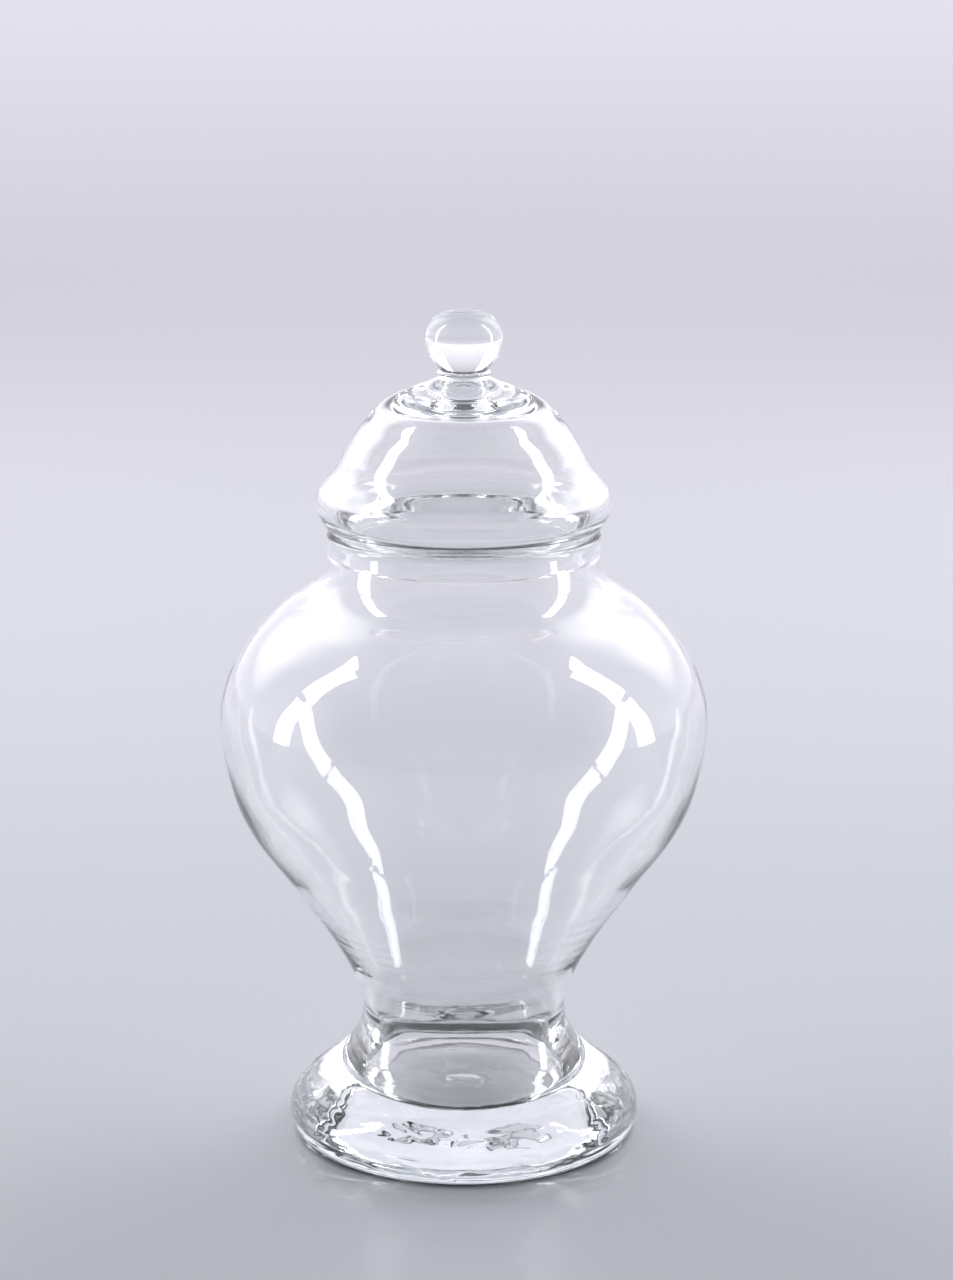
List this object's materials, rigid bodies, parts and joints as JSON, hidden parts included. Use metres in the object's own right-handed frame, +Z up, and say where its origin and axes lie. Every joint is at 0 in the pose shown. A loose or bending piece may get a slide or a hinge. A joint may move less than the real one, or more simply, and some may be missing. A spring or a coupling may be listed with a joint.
{
  "type": "lidded glass apothecary jar",
  "caption": "Clear glass apothecary jar: a full-bellied vessel on a heavy flared foot, with a drop-in domed lid lifted by a ball knob.",
  "frame": {"origin": "centre of the jar's bounding box at the bottom, on the axis, in the plane that the foot stands on", "axes": "+Z up along the jar's axis of revolution; +X and +Y are any two square directions, as the jar has no front"},
  "size_m": [0.1726, 0.1726, 0.3],
  "materials": {
    "clear_glass": "clear blown glass, fire-polished",
    "foot_glass": "clear thick glass, fire-polished",
    "knob_glass": "clear solid glass, fire-polished"
  },
  "bodies": {
    "jar": {"jar_body": "clear_glass", "jar_foot": "foot_glass"},
    "lid": {"lid_shell": "clear_glass", "knob_merese": "knob_glass", "knob_ball": "knob_glass"}
  },
  "joints": [
    {"name": "lid_lift", "type": "slide", "parent": "jar", "child": "lid", "axis": [0, 0, 1], "range_m": [0, 0.1]}
  ]
}
